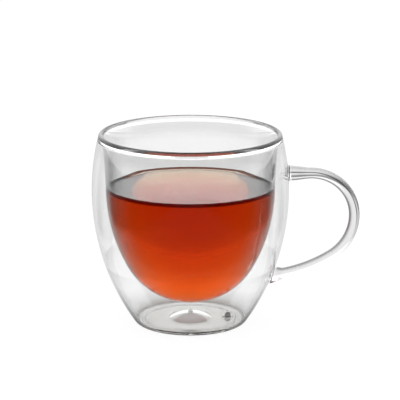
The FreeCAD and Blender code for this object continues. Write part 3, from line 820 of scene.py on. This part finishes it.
def tea_material(finish, vessel, tea):
    """Clear black tea: it takes up light along its depth, under a surface that is barely uneven."""
    material, nodes = new_material("black_tea")
    surface = Surface(nodes)
    swell = noise(nodes, surface.place, scale=60.0, detail=2.0, roughness=0.5)
    lying = worked(nodes, "ABSOLUTE", surface.slope["Z"])
    # painted shade on the tea's side where it is seen edge-on
    side = product(nodes, ramp(nodes, lying, TEA_SIDE_SLOPE), ramp(nodes, surface.glance, TEA_SIDE_GLANCE))
    # painted shade: a dark line along the glass just under the tea's surface
    ring = product(
        nodes, ramp(nodes, surface.reach, past(vessel.radius, RING_REACH)),
        ramp(nodes, surface.height, past(tea.level, RING_HEIGHT)),
    )
    # painted shade on the tea: darker sides seen edge-on, a darker level surface and a dark line along the
    # glass
    tint = layered(
        nodes, WHITE, (side, finish.tea_side_shade), (ramp(nodes, lying, TEA_TOP_SLOPE), finish.tea_top_shade),
        (ring, finish.tea_ring_shade),
    )
    skin = clear_surface(nodes, tint, 0.0, finish.tea_index, swell, finish.swell)
    depth = nodes.add("ShaderNodeVolumeAbsorption", {
        "Color": opaque(finish.tea_clear), "Density": finish.tea_strength,
    })
    nodes.add("ShaderNodeOutputMaterial", {"Surface": skin, "Volume": depth.outputs["Volume"]})
    return material


def ray_kinds(nodes):
    """What kind of ray finds the studio, and whether the glass or the tea has mirrored it on its way."""
    path = nodes.add("ShaderNodeLightPath").outputs
    return path, worked(nodes, "GREATER_THAN", path["Glossy Depth"], MIRRORED_ONCE)


def floor_material(studio):
    """A white floor that keeps the mug's shadow.

    Seen through the glass it is shaded close to the foot and brighter far off. Mirrored in the glass
    it is dark in front of the mug, bright behind it, and dimmer far out to both sides.
    """
    material, nodes = new_material("studio_white")
    path, mirrored = ray_kinds(nodes)
    direct = worked(nodes, "MAXIMUM", path["Is Camera Ray"], path["Is Glossy Ray"])
    direct = worked(nodes, "MAXIMUM", direct, path["Is Transmission Ray"])
    place = nodes.add("ShaderNodeTexCoord").outputs["Object"]
    apart = nodes.add("ShaderNodeSeparateXYZ", {0: place}).outputs
    radius = measured(nodes, "LENGTH", place)
    shade = ramp(nodes, radius, SHADE_RADIUS, studio.shaded, 1.0)
    through_glass = ramp(nodes, radius, FAR_FLOOR, shade, studio.horizon, "LINEAR")
    aside = worked(nodes, "ABSOLUTE", apart["X"])
    slant = worked(nodes, "DIVIDE", apart["Y"], aside)
    flagged = product(nodes, ramp(nodes, aside, FLAG_ASIDE), ramp(nodes, slant, FLAG_SLANT))
    in_glass = product(
        nodes, ramp(nodes, apart["Y"], FRONT_TO_BACK, studio.front_floor, studio.back_floor),
        mixed(nodes, flagged, 1.0, studio.flags),
    )
    matt = nodes.add("ShaderNodeBsdfDiffuse", {"Color": opaque(MATT_WHITE)})
    glow = nodes.add("ShaderNodeEmission", {
        "Color": opaque(WHITE), "Strength": mixed(nodes, path["Is Camera Ray"], through_glass, 1.0),
    })
    mirrored_glow = nodes.add("ShaderNodeEmission", {"Color": opaque(WHITE), "Strength": in_glass})
    shown = mixed_shader(nodes, mirrored, mixed_shader(nodes, studio.floor_glow, matt, glow), mirrored_glow)
    floor = mixed_shader(nodes, direct, matt, shown)
    nodes.add("ShaderNodeOutputMaterial", {"Surface": floor.outputs[0]})
    return material


def world_light(studio):
    """A world that is white to the camera, and brightest in a band above the horizon.

    Mirrored in the glass it is darker in front of the mug than behind it.
    """
    world = bpy.data.worlds.new("studio")
    world.use_nodes = True
    nodes = Nodes(world.node_tree)
    way = nodes.add("ShaderNodeTexCoord").outputs["Generated"]
    apart = nodes.add("ShaderNodeSeparateXYZ", {0: way}).outputs
    band = ramp(nodes, apart["Z"], (0.0, math.sin(studio.band_foot)), studio.horizon, studio.backlight)
    overhead = (math.sin(studio.band_top), math.sin(studio.dark_from))
    strength = ramp(nodes, apart["Z"], overhead, band, studio.zenith)
    path, mirrored = ray_kinds(nodes)
    left = mixed(nodes, mirrored, 1.0, ramp(nodes, apart["Y"], ROOM_TURN, studio.room, 1.0))
    shown = mixed(nodes, path["Is Camera Ray"], product(nodes, strength, left), 1.0)
    sky = nodes.add("ShaderNodeBackground", {"Color": opaque(WHITE), "Strength": shown})
    nodes.add("ShaderNodeOutputWorld", {"Surface": sky.outputs[0]})
    bpy.context.scene.world = world


# ---- operators -------------------------------------------------------------------------------

class MUG_OT_blow_glass(bpy.types.Operator):
    """Build both glass walls, the sealed air space between them and the fused handle"""

    bl_idname = "mug.blow_glass"
    bl_label = "Blow the glass"

    def execute(self, context):
        scene = context.scene
        wall, vessel, handle = scene.mug_outer, scene.mug_vessel, scene.mug_handle
        walls = outer_section(wall, vessel).turned(GLASS_SEGMENTS)
        glass = combined("glass_form", walls, handle_rod(wall, handle), "UNION")
        air = air_section(wall, vessel).turned(GLASS_SEGMENTS)
        vent = glass_drop(wall.vent_radius, *vent_middle(wall))
        seal = glass_drop(wall.seal_radius, 0.0, wall.punt_height + wall.wall)
        for tool in (vent, seal):
            air = combined("air_form", air, tool, "DIFFERENCE")
        bmesh.ops.reverse_faces(air, faces=air.faces[:])
        add_shape(glass, air)
        piece = finish_mesh("double_walled_glass", glass)
        piece.data.materials.append(glass_material(scene.mug_finish, wall, vessel, handle))
        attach(piece, "root")
        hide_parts("glass_mug")
        return {"FINISHED"}


class MUG_OT_pour_tea(bpy.types.Operator):
    """Fill the inner vessel with tea up to its level"""

    bl_idname = "mug.pour_tea"
    bl_label = "Pour the tea"

    def execute(self, context):
        scene = context.scene
        vessel, tea = scene.mug_vessel, scene.mug_tea
        piece = finish_mesh("poured_tea", tea_section(vessel, tea).turned(TEA_SEGMENTS))
        piece.data.materials.append(tea_material(scene.mug_finish, vessel, tea))
        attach(piece, "root")
        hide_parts("tea")
        return {"FINISHED"}


class MUG_OT_set_studio(bpy.types.Operator):
    """Set up the floor, the soft lamps, the world and the camera"""

    bl_idname = "mug.set_studio"
    bl_label = "Set the studio"

    def execute(self, context):
        scene = context.scene
        studio = scene.mug_studio
        floor_mesh = bmesh.new()
        bmesh.ops.create_circle(floor_mesh, cap_ends=True, segments=64, radius=studio.floor_radius)
        floor = finish_mesh("studio_floor", floor_mesh)
        floor.data.materials.append(floor_material(studio))
        world_light(studio)
        for name, turn in (("left", -studio.lamp_turn), ("right", studio.lamp_turn)):
            self.add_lamp(context, studio, name, turn)
        self.add_camera(context, studio)
        scene.view_settings.view_transform = "Standard"
        scene.cycles.max_bounces = GLASS_BOUNCES
        scene.cycles.transmission_bounces = GLASS_BOUNCES
        scene.cycles.glossy_bounces = MIRROR_BOUNCES
        scene.cycles.transparent_max_bounces = CLEAR_BOUNCES
        return {"FINISHED"}

    def add_lamp(self, context, studio, name, turn):
        """A soft lamp above, turned that far round from the camera's side."""
        data = bpy.data.lights.new(f"soft_{name}", "AREA")
        data.shape = "SQUARE"
        data.size = studio.lamp_size
        data.energy = studio.lamp
        lamp = bpy.data.objects.new(f"soft_{name}", data)
        reach = studio.lamp_reach
        lamp.location = (math.sin(turn) * reach, -math.cos(turn) * reach, studio.lamp_height)
        way = Vector((0.0, 0.0, studio.lamp_aim)) - lamp.location
        lamp.rotation_euler = way.to_track_quat("-Z", "Y").to_euler()
        lamp.visible_camera = False
        context.scene.collection.objects.link(lamp)

    def add_camera(self, context, studio):
        data = bpy.data.cameras.new("camera")
        data.lens = studio.distance / studio.view_width * data.sensor_width
        camera = bpy.data.objects.new("camera", data)
        aim = Vector((studio.aim_across, 0.0, studio.aim_height))
        back = Vector((0.0, -math.cos(studio.tilt), math.sin(studio.tilt)))
        camera.location = aim + back * studio.distance
        camera.rotation_euler = (-back).to_track_quat("-Z", "Y").to_euler()
        context.scene.collection.objects.link(camera)
        context.scene.camera = camera


class MUG_PT_sidebar(bpy.types.Panel):
    """The steps that build the mug, with its sizes and finishes"""

    bl_label = "Double-walled glass mug"
    bl_idname = "MUG_PT_sidebar"
    bl_space_type = "VIEW_3D"
    bl_region_type = "UI"
    bl_category = "Mug"

    def draw(self, context):
        layout = self.layout
        for operator in STEPS:
            layout.operator(operator.bl_idname)
        for attribute, group in GROUPS.items():
            box = layout.box()
            settings = getattr(context.scene, attribute)
            for name in group.__annotations__:
                box.prop(settings, name)


STEPS = (MUG_OT_blow_glass, MUG_OT_pour_tea, MUG_OT_set_studio)


def register():
    for item in (*GROUPS.values(), *STEPS, MUG_PT_sidebar):
        bpy.utils.register_class(item)
    for attribute, group in GROUPS.items():
        setattr(bpy.types.Scene, attribute, PointerProperty(type=group))


def unregister():
    for attribute in GROUPS:
        delattr(bpy.types.Scene, attribute)
    for item in (MUG_PT_sidebar, *reversed(STEPS), *reversed(GROUPS.values())):
        bpy.utils.unregister_class(item)


def main():
    register()
    bpy.ops.mug.blow_glass()
    bpy.ops.mug.pour_tea()
    bpy.ops.mug.set_studio()


if __name__ == "__main__":
    main()
